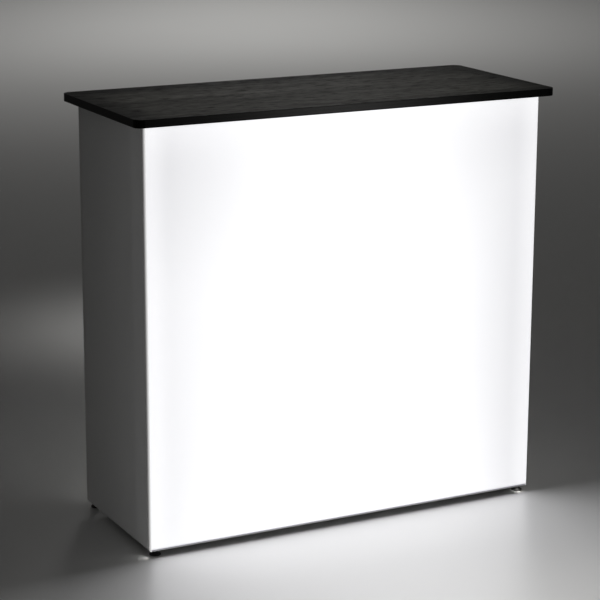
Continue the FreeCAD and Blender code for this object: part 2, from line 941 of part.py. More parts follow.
def make_leads():
    left, above = [mouth for mouth, outward in lead_mouths()]
    low_board = bar_point(-1, lower_lead_x, 0, board_level)
    high_board = bar_point(1, upper_lead_x, 0, board_level)
    lower = [
        left + vec(lead_tail, 0, 0), vec(lower_lead_x, lead_exit_y, box_centre_height),
        vec(lower_lead_x, bar_y, box_centre_height), low_board,
    ]
    run_start = above.z + lead_rise + lead_slope
    upper = [
        above - up * lead_tail, above + up * lead_rise, vec(upper_lead_x, lead_run_y, run_start),
        vec(upper_lead_x, lead_run_y, upper_lead_z - lead_rise - lead_slope),
        vec(upper_lead_x, lead_exit_y, upper_lead_z - lead_rise),
        vec(upper_lead_x, lead_exit_y, upper_lead_z), vec(upper_lead_x, bar_y, upper_lead_z), high_board,
    ]
    return group([bent_tube(points, lead_bend, lead_radius) for points in (lower, upper)])


def make_grommet(seat, outward, sheet):
    # rubber ring that grips both faces of a sheet; seat is on the outer face
    bore = lead_radius + lead_clearance
    outline = [
        (bore, -sheet - grommet_flange), (grommet_radius, -sheet - grommet_flange), (grommet_radius, -sheet),
        (grommet_seat_radius, -sheet), (grommet_seat_radius, 0), (grommet_radius, 0),
        (grommet_radius, grommet_flange), (bore, grommet_flange),
    ]
    return turned(outline, seat, outward)


def make_grommets():
    rings = [make_grommet(entry, backward, tray_sheet) for entry in lead_entries()]
    rings += [make_grommet(mouth, outward, box_wall) for mouth, outward in lead_mouths()]
    return group(rings)


def make_clips():
    # evenly spaced up the tray, half of them below the middle shelf
    clips = []
    middle = shelf_underside + shelf_thickness / 2
    lowest = middle - clip_spacing * (clip_count - 1) / 2
    for index in range(clip_count):
        z = lowest + index * clip_spacing - clip_width / 2
        base_low = vec(upper_lead_x - clip_length / 2, tray_back_y, z)
        base = span(base_low, base_low + vec(clip_length, clip_wall, clip_width))
        centre = vec(upper_lead_x, lead_run_y, z)
        saddle = base.fuse(rod(lead_radius + clip_wall, clip_width, centre, up))
        clips.append(saddle.cut(rod(lead_radius + lead_clearance, clip_width, centre, up)))
    return group(clips)


def collect_nodes():
    nodes = {}
    for side_name, side in sides.items():
        for end_name, end in ends.items():
            corner = end_name + "_" + side_name
            nodes[corner + "_post"] = make_post(side, end)
            nodes[corner + "_foot_pad"] = make_pad(side, end)
            nodes[corner + "_foot_stem"] = make_stem(side, end)
            for level_name, level in levels.items():
                nodes[corner + "_" + level_name + "_block"] = make_block(side, end, level)
        for level_name, level in levels.items():
            nodes[side_name + "_" + level_name + "_rail"] = make_side_rail(side, level)
        nodes[side_name + "_shelf_rail"] = make_shelf_rail(side)
        nodes[side_name + "_fabric"] = make_side_fabric(side)
        nodes[side_name + "_fabric_edging"] = make_side_edging(side)
    for end_name, end in ends.items():
        for level_name, level in levels.items():
            nodes[end_name + "_" + level_name + "_rail"] = make_cross_rail(end, level)
    nodes["frame_screws"] = make_frame_screws()
    nodes["foot_inserts"] = make_inserts()
    nodes["countertop_board"] = make_top_board()
    nodes["countertop_edge_band"] = make_edge_band()
    nodes["countertop_pins"] = make_top_pins()
    nodes["front_fabric"] = make_front_fabric()
    nodes["front_fabric_edging"] = make_front_edging()
    nodes["shelf_rail_brackets"] = make_brackets()
    nodes["middle_shelf"] = make_middle_shelf()
    nodes["base_shelf"] = make_shelf(floor_gap + profile)
    nodes["light_tray"] = make_tray()
    nodes["panel_screws"] = make_panel_screws()
    nodes["light_channels"] = group([make_light_channel(level) for level in levels.values()])
    nodes["light_boards"] = group([make_light_board(level) for level in levels.values()])
    nodes["light_lenses"] = make_lenses()
    nodes["power_box_base"] = make_box_base()
    nodes["power_box_cover"] = make_box_cover()
    nodes["driver_board"] = make_driver()
    nodes["mains_inlet"] = make_inlet()
    nodes["inlet_prongs"] = make_prongs()
    nodes["switch_frame"] = make_switch_frame()
    nodes["switch_rocker"] = make_rocker()
    nodes["light_leads"] = make_leads()
    nodes["lead_grommets"] = make_grommets()
    nodes["lead_clips"] = make_clips()
    return nodes


os.makedirs("parts", exist_ok=True)
for name, shape in collect_nodes().items():
    shape.exportStep("parts/" + name + ".step")
    print(name, len(shape.Solids), "%.0f mm3" % shape.Volume, shape.isValid())
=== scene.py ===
import bpy
import json
import math
from mathutils import Matrix, Vector


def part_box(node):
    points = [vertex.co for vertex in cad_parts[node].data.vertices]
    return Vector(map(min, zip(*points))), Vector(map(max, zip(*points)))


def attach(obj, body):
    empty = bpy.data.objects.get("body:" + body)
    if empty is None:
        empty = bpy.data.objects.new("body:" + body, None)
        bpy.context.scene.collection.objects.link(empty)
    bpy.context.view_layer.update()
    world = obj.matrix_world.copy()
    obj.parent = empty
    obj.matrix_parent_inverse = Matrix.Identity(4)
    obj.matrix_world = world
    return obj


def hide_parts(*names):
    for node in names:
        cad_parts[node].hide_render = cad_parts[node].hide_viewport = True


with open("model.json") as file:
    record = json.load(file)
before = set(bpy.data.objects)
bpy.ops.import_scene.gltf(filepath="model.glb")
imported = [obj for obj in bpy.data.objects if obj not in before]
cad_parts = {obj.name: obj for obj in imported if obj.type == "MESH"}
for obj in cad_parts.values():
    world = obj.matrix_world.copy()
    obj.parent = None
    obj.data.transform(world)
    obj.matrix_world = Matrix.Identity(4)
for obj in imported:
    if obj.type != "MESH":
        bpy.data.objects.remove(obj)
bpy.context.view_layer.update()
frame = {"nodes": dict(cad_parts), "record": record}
cadNodes = frame["nodes"]
slotOf = {row["node"]: row["material_slot"] for row in frame["record"]["subparts"]}
bodyOf = {node: body for body, members in frame["record"]["behaviour"]["bodies"].items() for node in members}
cornerNames = ["front_left", "front_right", "rear_left", "rear_right"]
levelNames = ["top", "bottom"]
print("frame loaded,", len(cadNodes), "nodes")


# small helpers for modelling

mergeGap = 0.000002  # points of a CAD mesh that lie closer are one point
levelGap = 0.00002  # how far a face or edge may lie off the height asked for
flatEnough = 0.9  # how straight up or down a face has to look


def selectOnly(*pieces):
    bpy.ops.object.select_all(action="DESELECT")
    for piece in pieces:
        piece.select_set(True)
    bpy.context.view_layer.objects.active = pieces[0]


def deleteOnly(*pieces):
    selectOnly(*pieces)
    bpy.ops.object.delete()


def nameNew(name):
    # names what the last operator added
    piece = bpy.context.active_object
    piece.name = name
    piece.data.name = name
    return piece


def settle(piece):
    # place, turn and size go into the mesh
    selectOnly(piece)
    bpy.ops.object.transform_apply(location=True, rotation=True, scale=True)


def applyModifier(piece, kind, **settings):
    selectOnly(piece)
    modifier = piece.modifiers.new(kind.lower(), kind)
    for key, value in settings.items():
        setattr(modifier, key, value)
    bpy.ops.object.modifier_apply(modifier=modifier.name)


def roundEdges(piece, width, segments, degrees):
    # rounds the edges that are sharper than the angle
    applyModifier(piece, "BEVEL", width=width, segments=segments, limit_method="ANGLE",
                  angle_limit=math.radians(degrees))


def pick(piece, kind, test):
    # goes to edit mode with only those faces, edges or vertices selected that pass the test
    selectOnly(piece)
    bpy.context.tool_settings.mesh_select_mode = (kind == "vertices", kind == "edges", kind == "polygons")
    bpy.ops.object.mode_set(mode="EDIT")
    bpy.ops.mesh.select_all(action="DESELECT")
    bpy.ops.object.mode_set(mode="OBJECT")
    for element in getattr(piece.data, kind):
        element.select = test(element)
    bpy.ops.object.mode_set(mode="EDIT")


def pickAll(piece):
    # goes to edit mode with the whole mesh selected
    selectOnly(piece)
    bpy.ops.object.mode_set(mode="EDIT")
    bpy.ops.mesh.select_all(action="SELECT")


def editDone():
    bpy.ops.object.mode_set(mode="OBJECT")


def upFace(height):
    return lambda face: abs(face.center.z - height) < levelGap and face.normal.z > flatEnough


def downFace(height):
    return lambda face: abs(face.center.z - height) < levelGap and face.normal.z < -flatEnough


def edgeMiddle(piece, edge):
    a, b = edge.vertices
    return (piece.data.vertices[a].co + piece.data.vertices[b].co) / 2


def extrudeUp(height):
    bpy.ops.mesh.extrude_region_move(TRANSFORM_OT_translate={"value": (0, 0, height)})


def smooth(piece, degrees=35):
    selectOnly(piece)
    bpy.ops.object.shade_smooth_by_angle(angle=math.radians(degrees))


def joined(name, pieces):
    selectOnly(*pieces)
    bpy.ops.object.join()
    return nameNew(name)


def copied(piece, name, matrix):
    twin = bpy.data.objects.new(name, piece.data.copy())
    twin.data.name = name
    twin.data.transform(matrix)
    bpy.context.collection.objects.link(twin)
    return twin


def standsFor(piece, node):
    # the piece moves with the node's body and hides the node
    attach(piece, bodyOf[node])
    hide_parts(node)


# small helpers for node trees

noiseLow, noiseHigh = 0.3, 0.7  # most values of a noise lie between these


def put(tree, kind, inputs=None, **settings):
    # adds a node; an input is a value or another node's socket
    node = tree.nodes.new("ShaderNode" + kind)
    for key, value in settings.items():
        setattr(node, key, value)
    for key, value in (inputs or {}).items():
        if isinstance(value, bpy.types.NodeSocket):
            tree.links.new(value, node.inputs[key])
        else:
            node.inputs[key].default_value = value
    return node


def calc(tree, operation, a, b=0.0):
    return put(tree, "Math", {0: a, 1: b}, operation=operation).outputs[0]


def product(tree, first, *others):
    result = first
    for other in others:
        result = calc(tree, "MULTIPLY", result, other)
    return result


def mean(tree, a, b):
    return calc(tree, "MULTIPLY", calc(tree, "ADD", a, b), 0.5)


def fade(tree, value, low, high, atLow=0.0, atHigh=1.0, course="SMOOTHSTEP"):
    inputs = {"Value": value, "From Min": low, "From Max": high, "To Min": atLow, "To Max": atHigh}
    return put(tree, "MapRange", inputs, interpolation_type=course).outputs["Result"]


def tint(tree, factor, a, b):
    colourA = a if isinstance(a, bpy.types.NodeSocket) else (*a, 1.0)
    colourB = b if isinstance(b, bpy.types.NodeSocket) else (*b, 1.0)
    return put(tree, "Mix", {0: factor, 6: colourA, 7: colourB}, data_type="RGBA").outputs[2]


def placeOn(tree):
    return put(tree, "TexCoord").outputs["Object"]


def stretched(tree, vector, scale):
    return put(tree, "Mapping", {"Vector": vector, "Scale": scale}).outputs["Vector"]


def noise(tree, vector, scale=1.0, detail=3.0, roughness=0.55):
    inputs = {"Vector": vector, "Scale": scale, "Detail": detail, "Roughness": roughness}
    return put(tree, "TexNoise", inputs).outputs["Fac"]


def newGroup(name, inputs, outputs):
    group = bpy.data.node_groups.new(name, "ShaderNodeTree")
    for socketName, value in inputs.items():
        socket = group.interface.new_socket(socketName, in_out="INPUT", socket_type="NodeSocketFloat")
        socket.default_value = value
    for socketName in outputs:
        group.interface.new_socket(socketName, in_out="OUTPUT", socket_type="NodeSocketFloat")
    return group, group.nodes.new("NodeGroupInput").outputs, group.nodes.new("NodeGroupOutput").inputs


# surface effects that several finishes share

knitForm = {
    "pitch": 0.0016, "unevenness": 0.4, "loopFoot": 0.35, "columnFall": 1.4,
    "uprightYarn": (420, 420, 24), "levelYarn": (22, 22, 420),
}
grainForm = {
    # how dense each pattern is along and across the grain, its detail and its roughness
    "wander": (1.6, 9.0, 2.0, 0.55),
    "broad": (1.6, 26.0, 3.0, 0.55),
    "fine": (13.0, 150.0, 5.0, 0.68),
    "cluster": (24.0, 110.0, 2.0, 0.5),
    "dashes": (30.0, 420.0, 1.0, 0.4),
    # how far the grain wanders, where clusters and dashes begin and are full, and the height of the streaks
    "wanderWidth": 0.05, "clusterRange": (0.42, 0.64), "dashRange": (0.50, 0.62), "streakHeight": 0.5,
}


def makeKnit():
    # stretch knit: slanted loops in upright columns, with uneven yarn
    inputs = {"Pitch": knitForm["pitch"], "Unevenness": knitForm["unevenness"]}
    group, given, result = newGroup("knit", inputs, ["Height", "Tone"])
    place = placeOn(group)
    parts = put(group, "SeparateXYZ", {0: place}).outputs
    across = calc(group, "DIVIDE", calc(group, "ADD", parts["X"], parts["Y"]), given["Pitch"])
    column = calc(group, "ABSOLUTE", calc(group, "SUBTRACT", calc(group, "FRACT", across), 0.5))
    rise = calc(group, "ADD", calc(group, "DIVIDE", parts["Z"], given["Pitch"]), column)
    loop = calc(group, "SINE", calc(group, "MULTIPLY", rise, 2 * math.pi))
    crown = calc(group, "SUBTRACT", 1.0, calc(group, "MULTIPLY", column, knitForm["columnFall"]))
    stitch = calc(group, "MULTIPLY", fade(group, loop, -1.0, 1.0, knitForm["loopFoot"], 1.0), crown)
    upright = noise(group, stretched(group, place, knitForm["uprightYarn"]), detail=2.0)
    level = noise(group, stretched(group, place, knitForm["levelYarn"]), detail=2.0)
    yarn = mean(group, upright, level)
    uneven = calc(group, "MULTIPLY", yarn, given["Unevenness"])
    group.links.new(calc(group, "ADD", stitch, uneven), result["Height"])
    group.links.new(yarn, result["Tone"])
    return group


def makePeel():
    # the fine orange peel of a powder coat, with broad faint patches
    group, given, result = newGroup("peel", {"Grain": 420.0}, ["Height", "Tone"])
    place = placeOn(group)
    group.links.new(noise(group, place, given["Grain"], detail=2.0), result["Height"])
    group.links.new(noise(group, place, scale=5.0, detail=2.0), result["Tone"])
    return group


def makeGrain():
    # wood grain along X: broad bands, fine streaks and short open pores that lie in clusters
    group, given, result = newGroup("woodGrain", {"Pores": 1.0}, ["Tone", "Pore", "Height"])

    def layer(vector, name):
        along, across, detail, roughness = grainForm[name]
        return noise(group, stretched(group, vector, (along, across, 1.0)), 1.0, detail, roughness)

    place = placeOn(group)
    sideways = calc(group, "MULTIPLY", layer(place, "wander"), grainForm["wanderWidth"])
    offset = put(group, "CombineXYZ", {"Y": sideways}).outputs["Vector"]
    wavy = put(group, "VectorMath", {0: place, 1: offset}, operation="ADD").outputs["Vector"]
    broad = layer(wavy, "broad")
    fine = layer(wavy, "fine")
    cluster = fade(group, layer(wavy, "cluster"), *grainForm["clusterRange"])
    dashes = fade(group, layer(wavy, "dashes"), *grainForm["dashRange"])
    pore = product(group, dashes, cluster, given["Pores"])
    streaks = calc(group, "MULTIPLY", fine, grainForm["streakHeight"])
    group.links.new(mean(group, broad, fine), result["Tone"])
    group.links.new(pore, result["Pore"])
    group.links.new(calc(group, "SUBTRACT", streaks, pore), result["Height"])
    return group


def makeSpark():
    # spark-eroded texture of a moulding tool
    group, given, result = newGroup("spark", {"Grain": 900.0}, ["Height", "Tone"])
    place = placeOn(group)
    group.links.new(noise(group, place, given["Grain"], detail=2.0, roughness=0.6), result["Height"])
    group.links.new(noise(group, place, scale=30.0, detail=2.0), result["Tone"])
    return group


def makeZinc():
    # bright zinc plating: a soft cloud and fine turning marks
    group, given, result = newGroup("zinc", {"Cloud": 60.0}, ["Height", "Tone"])
    place = placeOn(group)
    turned = stretched(group, place, scale=(40, 40, 2600))
    group.links.new(noise(group, turned, detail=2.0), result["Height"])
    group.links.new(noise(group, place, given["Cloud"]), result["Tone"])
    return group


def makeDust():
    # settles on faces that look up, more in some places than in others
    group, given, result = newGroup("dust", {"Amount": 0.3}, ["Mask"])
    facing = put(group, "SeparateXYZ", {0: put(group, "NewGeometry").outputs["Normal"]}).outputs["Z"]
    upward = fade(group, facing, low=0.3, high=1.0)
    patches = fade(group, noise(group, placeOn(group), scale=14.0, detail=4.0), low=0.35, high=0.75)
    group.links.new(product(group, upward, patches, given["Amount"]), result["Mask"])
    return group


effects = {
    "knit": makeKnit(), "peel": makePeel(), "grain": makeGrain(),
    "spark": makeSpark(), "zinc": makeZinc(), "dust": makeDust(),
}
print("shared effects made:", ", ".join(effects))


def newFinish(name, rough, metal=0.0, **sockets):
    material = bpy.data.materials.new(name)
    material.use_nodes = True
    shader = material.node_tree.nodes["Principled BSDF"]
    shader.inputs["Roughness"].default_value = rough
    shader.inputs["Metallic"].default_value = metal
    for key, value in sockets.items():
        shader.inputs[key.replace("_", " ")].default_value = value
    return material, material.node_tree, shader.inputs


def useEffect(tree, name, **values):
    node = tree.nodes.new("ShaderNodeGroup")
    node.node_tree = effects[name]
    for key, value in values.items():
        node.inputs[key].default_value = value
    return node.outputs


def mottled(tree, mask, colour, share):
    # the colour, and a darker share of it where the mask is low
    return tint(tree, mask, [c * share for c in colour], colour)


def dusted(tree, colour, amount):
    dustColour = (0.62, 0.6, 0.57)
    return tint(tree, useEffect(tree, "dust", Amount=amount)["Mask"], colour, dustColour)


def varyRoughness(tree, sockets, mask, rough, less, more):
    varied = fade(tree, mask, noiseLow, noiseHigh, rough - less, rough + more)
    tree.links.new(varied, sockets["Roughness"])


def bump(tree, sockets, height, strength, distance):
    inputs = {"Height": height, "Strength": strength, "Distance": distance}
    tree.links.new(put(tree, "Bump", inputs).outputs["Normal"], sockets["Normal"])


def paintedGlow(tree, sockets, amount):
    # painted light: a white glow of its own, as strong as the amount
    tree.links.new(tint(tree, amount, (0.0, 0.0, 0.0), (1.0, 1.0, 1.0)), sockets["Emission Color"])
    sockets["Emission Strength"].default_value = 1.0


# finishes

def paintedEdgeGlow(tree, sockets, look):
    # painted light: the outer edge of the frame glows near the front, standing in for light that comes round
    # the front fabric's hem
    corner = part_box("front_left_post")[0]
    end = corner.y + look["edgeDepth"]
    skin = -corner.x - look["edgeSkin"]
    blur = look["edgeBlur"]
    parts = put(tree, "SeparateXYZ", {0: placeOn(tree)}).outputs
    depth = fade(tree, parts["Y"], corner.y, end, look["edgeLight"], look["edgeRest"])
    outside = fade(tree, calc(tree, "ABSOLUTE", parts["X"]), skin - blur / 2, skin + blur / 2)
    near = fade(tree, parts["Y"], end, end + blur, 1.0, 0.0)
    paintedGlow(tree, sockets, product(tree, depth, outside, near))


def powderCoat(name, look):
    material, tree, sockets = newFinish(name, look["rough"])
    peel = useEffect(tree, "peel", Grain=look["grain"])
    colour = mottled(tree, peel["Tone"], look["colour"], share=0.96)
    tree.links.new(dusted(tree, colour, look["dust"]), sockets["Base Color"])
    varyRoughness(tree, sockets, peel["Height"], look["rough"], less=0.05, more=0.05)
    bump(tree, sockets, peel["Height"], strength=0.25, distance=0.0004)
    # painted glow at the frame's outer front edge
    if "edgeLight" in look:
        paintedEdgeGlow(tree, sockets, look)
    return material


def moulded(name, look):
    material, tree, sockets = newFinish(name, look["rough"], Specular_IOR_Level=look.get("specular", 0.5))
    spark = useEffect(tree, "spark", Grain=look["grain"])
    colour = mottled(tree, spark["Tone"], look["colour"], share=0.88)
    tree.links.new(dusted(tree, colour, look["dust"]), sockets["Base Color"])
    varyRoughness(tree, sockets, spark["Height"], look["rough"], less=0.07, more=0.07)
    bump(tree, sockets, spark["Height"], look["relief"], distance=0.0003)
    # painted glow at the block's outer front edge
    if "edgeLight" in look:
        paintedEdgeGlow(tree, sockets, look)
    return material


def plated(name, look):
    material, tree, sockets = newFinish(name, look["rough"], metal=1.0)
    zinc = useEffect(tree, "zinc", Cloud=look["cloud"])
    tree.links.new(mottled(tree, zinc["Tone"], look["colour"], share=0.8), sockets["Base Color"])
    varyRoughness(tree, sockets, zinc["Tone"], look["rough"], less=0.06, more=0.08)
    bump(tree, sockets, zinc["Height"], strength=0.15, distance=0.0002)
    return material


def melamine(name, look):
    # white shelf board: a faint pearl in the paper and a little dust on top
    material, tree, sockets = newFinish(name, look["rough"])
    peel = useEffect(tree, "peel", Grain=look["grain"])
    colour = mottled(tree, peel["Height"], look["colour"], share=0.97)
    tree.links.new(dusted(tree, colour, look["dust"]), sockets["Base Color"])
    bump(tree, sockets, peel["Height"], strength=0.12, distance=0.0003)
    return material


def blackLaminate(name, look):
    # light streaks are the smoothest, and open pores the roughest
    material, tree, sockets = newFinish(name, look["rough"], Specular_IOR_Level=look["specular"])
    grain = useEffect(tree, "grain", Pores=1.0)
    low, high = look["toneRange"]
    colour = tint(tree, fade(tree, grain["Tone"], low, high), look["dark"], look["light"])
    tree.links.new(tint(tree, grain["Pore"], colour, look["pore"]), sockets["Base Color"])
    roughest, smoothest = look["rough"] + look["swing"], look["rough"] - look["swing"]
    streaks = fade(tree, grain["Tone"], low, high, roughest, smoothest)
    pores = calc(tree, "MULTIPLY", grain["Pore"], look["poreRough"])
    tree.links.new(calc(tree, "ADD", streaks, pores), sockets["Roughness"])
    bump(tree, sockets, grain["Height"], strength=0.5, distance=0.0005)
    return material


def plainCloth(name, look):
    material, tree, sockets = newFinish(name, look["rough"], Sheen_Weight=look["sheen"])
    knit = useEffect(tree, "knit", Pitch=look["pitch"])
    tree.links.new(mottled(tree, knit["Tone"], look["colour"], share=0.93), sockets["Base Color"])
    bump(tree, sockets, knit["Height"], strength=0.35, distance=0.0004)
    # painted glow, standing in for light from behind the front that comes through the cloth: brighter
    # towards the front edge, most over the light tray
    low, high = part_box("left_fabric")
    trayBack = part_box("light_tray")[1].y
    depth = put(tree, "SeparateXYZ", {0: placeOn(tree)}).outputs["Y"]
    paintedTrayGlow = fade(tree, depth, trayBack - look["paintedTrayBlur"], trayBack + look["paintedTrayBlur"], look["paintedTrayGlow"], 0.0)
    # painted glow over the whole side, stronger at the front than at the rear
    spread = fade(tree, depth, low.y, high.y, look["spread"], look["paintedRearGlow"])
    paintedGlow(tree, sockets, calc(tree, "ADD", paintedTrayGlow, spread))
    return material


def glowingCloth(name, look):
    # brightest in the middle, with a softer band a little inside each upright edge, deepest near the top
    material, tree, sockets = newFinish(name, look["rough"], Emission_Strength=look["strength"])
    knit = useEffect(tree, "knit", Pitch=look["pitch"])
    low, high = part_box("front_fabric")
    parts = put(tree, "SeparateXYZ", {0: placeOn(tree)}).outputs
    across = calc(tree, "DIVIDE", calc(tree, "ABSOLUTE", parts["X"]), high.x)
    up = fade(tree, parts["Z"], low.z + look["upStart"] * (high.z - low.z), high.z - look["crown"])
    start = calc(tree, "SUBTRACT", look["bandStart"], calc(tree, "MULTIPLY", up, look["topWiden"]))
    inner = fade(tree, across, start, look["bandMiddle"], course="LINEAR")
    outer = fade(tree, across, look["bandMiddle"], look["bandEnd"], 1.0, look["edgeShare"])
    right = fade(tree, parts["X"], 0.0, high.x, 0.0, look["rightDepth"])
    extra = calc(tree, "MAXIMUM", right, calc(tree, "MULTIPLY", up, look["topDepth"]))
    crown = fade(tree, parts["Z"], high.z - look["crown"], high.z, 1.0, look["crownShare"])
    depth = calc(tree, "MULTIPLY", calc(tree, "ADD", extra, look["bandDepth"]), crown)
    band = product(tree, inner, outer, depth)
    # the hem over the bottom rail gets little light
    hem = fade(tree, parts["Z"], low.z + look["hemStart"], low.z + look["hem"], look["hemLight"], 1.0)
    stitches = fade(tree, knit["Tone"], noiseLow, noiseHigh, look["stitchLight"], 1.0)
    light = product(tree, calc(tree, "SUBTRACT", 1.0, band), hem, stitches)
    tree.links.new(tint(tree, light, look["unlit"], look["lit"]), sockets["Emission Color"])
    tree.links.new(mottled(tree, knit["Tone"], look["colour"], share=0.95), sockets["Base Color"])
    bump(tree, sockets, knit["Height"], strength=0.3, distance=0.0003)
    return material


def clearMoulding(name, look):
    material, tree, sockets = newFinish(name, look["rough"], Transmission_Weight=0.95, IOR=1.49)
    spark = useEffect(tree, "spark", Grain=look["grain"])
    tree.links.new(mottled(tree, spark["Tone"], look["colour"], share=0.96), sockets["Base Color"])
    bump(tree, sockets, spark["Height"], strength=0.05, distance=0.0002)
    return material


# the outer front edge of the frame, with a painted glow where light leaks out
paintedEdgeLook = {"edgeLight": 0.62, "edgeRest": 0.10, "edgeDepth": 0.0127, "edgeSkin": 0.002, "edgeBlur": 0.0004}
# the look of each material slot, under the finish that makes it
finishes = {
    powderCoat: {
        "frame_white": dict(paintedEdgeLook, colour=(0.8, 0.8, 0.79), rough=0.48, grain=420.0, dust=0.05),
        "tray_white": dict(colour=(0.85, 0.85, 0.84), rough=0.42, grain=360.0, dust=0.08),
    },
    moulded: {
        "block_white": dict(
            paintedEdgeLook, colour=(0.82, 0.82, 0.81), rough=0.5, grain=700.0, relief=0.15, dust=0.0),
        "clip_white": dict(colour=(0.8, 0.8, 0.78), rough=0.45, grain=900.0, relief=0.1, dust=0.05),
        "edging_silicone": dict(colour=(0.74, 0.75, 0.75), rough=0.4, grain=500.0, relief=0.1, dust=0.0),
        "foot_black": dict(colour=(0.02, 0.02, 0.02), rough=0.5, grain=1100.0, relief=0.3, dust=0.12),
        "band_black": dict(
            colour=(0.004, 0.004, 0.004), rough=0.32, grain=700.0, relief=0.1, dust=0.0, specular=0.12),
        "box_black": dict(colour=(0.025, 0.025, 0.026), rough=0.55, grain=620.0, relief=0.6, dust=0.2),
        "inlet_black": dict(colour=(0.02, 0.02, 0.02), rough=0.32, grain=900.0, relief=0.1, dust=0.1),
        "rocker_black": dict(colour=(0.024, 0.024, 0.024), rough=0.18, grain=300.0, relief=0.03, dust=0.05),
        "lead_black": dict(colour=(0.02, 0.02, 0.02), rough=0.45, grain=800.0, relief=0.2, dust=0.1),
        "grommet_rubber": dict(colour=(0.022, 0.022, 0.022), rough=0.6, grain=1000.0, relief=0.3, dust=0.1),
        "driver_green": dict(colour=(0.03, 0.16, 0.06), rough=0.3, grain=400.0, relief=0.1, dust=0.0),
        "light_board_white": dict(colour=(0.82, 0.82, 0.79), rough=0.3, grain=500.0, relief=0.05, dust=0.0),
    },
    plated: {
        "stem_steel": dict(colour=(0.10, 0.10, 0.105), rough=0.34, cloud=140.0),
        "screw_steel": dict(colour=(0.7, 0.7, 0.71), rough=0.28, cloud=220.0),
        "pin_steel": dict(colour=(0.7, 0.7, 0.71), rough=0.28, cloud=150.0),
        "bracket_steel": dict(colour=(0.66, 0.66, 0.67), rough=0.36, cloud=90.0),
        "channel_aluminium": dict(colour=(0.78, 0.78, 0.79), rough=0.34, cloud=40.0),
        "insert_brass": dict(colour=(0.72, 0.53, 0.22), rough=0.3, cloud=160.0),
        "prong_metal": dict(colour=(0.7, 0.66, 0.56), rough=0.25, cloud=300.0),
    },
    melamine: {
        "shelf_white": dict(colour=(0.8, 0.8, 0.78), rough=0.36, grain=900.0, dust=0.12),
    },
    blackLaminate: {
        "top_black": dict(
            dark=(0.008, 0.008, 0.0073), light=(0.034, 0.0337, 0.0298), pore=(0.003, 0.003, 0.003),
            toneRange=(0.35, 0.65), rough=0.5, swing=0.055, poreRough=0.35, specular=0.5),
    },
    plainCloth: {
        # the side cloth carries a painted glow, stronger towards the front
        "side_cloth": dict(
            colour=(0.78, 0.78, 0.78), rough=0.92, sheen=0.15, pitch=0.0016,
            paintedTrayGlow=0.006, paintedTrayBlur=0.006, spread=0.0235, paintedRearGlow=0.0055),
    },
    glowingCloth: {
        "front_cloth": dict(
            colour=(0.62, 0.62, 0.62), rough=0.9, pitch=0.0016, strength=1.065, stitchLight=0.985,
            bandStart=0.45, bandMiddle=0.885, bandEnd=0.99, bandDepth=0.195, edgeShare=0.68, rightDepth=0.08,
            upStart=0.55, topWiden=0.2, topDepth=0.1, crown=0.09, crownShare=0.72,
            hem=0.005, hemStart=0.0015, hemLight=0.1, unlit=(0.0, 0.0, 0.02), lit=(0.98, 0.98, 1.0)),
    },
    clearMoulding: {
        "lens_clear": dict(colour=(0.95, 0.96, 0.97), rough=0.08, grain=200.0),
    },
}
materials = {slot: make(slot, look) for make, looks in finishes.items() for slot, look in looks.items()}
for node, slot in slotOf.items():
    cadNodes[node].data.materials.clear()
    cadNodes[node].data.materials.append(materials[slot])
print("finishes made:", len(materials))


# rigid pieces with their small edge rounds

sideNames = ["front", "rear", "left", "right"]
railNames = [side + "_" + level + "_rail" for side in sideNames for level in levelNames]
postNames = [corner + "_post" for corner in cornerNames]
blockNames = [corner + "_" + level + "_block" for corner in cornerNames for level in levelNames]
softEdge = {
    0.0005: railNames + postNames + ["left_shelf_rail", "right_shelf_rail"],
    0.0006: blockNames + ["middle_shelf", "base_shelf"],
    0.0004: ["light_tray", "shelf_rail_brackets", "power_box_base", "power_box_cover", "mains_inlet"],
    0.0003: ["switch_frame", "switch_rocker", "lead_clips", "inlet_prongs"],
}


def soften(node, radius):
    piece = copied(cadNodes[node], node + "_finished", Matrix.Identity(4))
    selectOnly(piece)
    bpy.ops.mesh.customdata_custom_splitnormals_clear()
    pickAll(piece)
    bpy.ops.mesh.remove_doubles(threshold=mergeGap)
    bpy.ops.mesh.dissolve_limited(angle_limit=math.radians(0.5))
    editDone()
    roundEdges(piece, radius, segments=2, degrees=40)
    smooth(piece)
    applyModifier(piece, "WEIGHTED_NORMAL", weight=100, keep_sharp=True)  # keeps the broad faces flat
    standsFor(piece, node)


for radius, nodeNames in softEdge.items():
    for node in nodeNames:
        soften(node, radius)
print("rigid pieces given their edge rounds")


# levelling feet: one modelled at the front left, the others copied from it

pad = {
    "sides": 48, "rim": 0.0025, "top": 0.0086, "edge": 0.0005, "hollow": 0.002, "hollowDepth": 0.0014,
    "socketGap": 0.0001, "socketDepth": 0.0028,
    "steps": ((0.45, 0.18), (0.35, 0.30), (0.20, 0.52)),  # shares of the way in to the neck and up to it
}
stem = {
    "collar": 0.013, "chamfer": 0.0009, "peg": 0.0038, "pegLength": 0.0025,
    "pitch": 0.00125, "turnSteps": 20, "spareTurns": 3, "seam": 0.00001,
    "flank": ((0.0033, 0.0), (0.0039, 0.45), (0.0039, 0.62), (0.0033, 1.0)),  # radius, share of the pitch
}


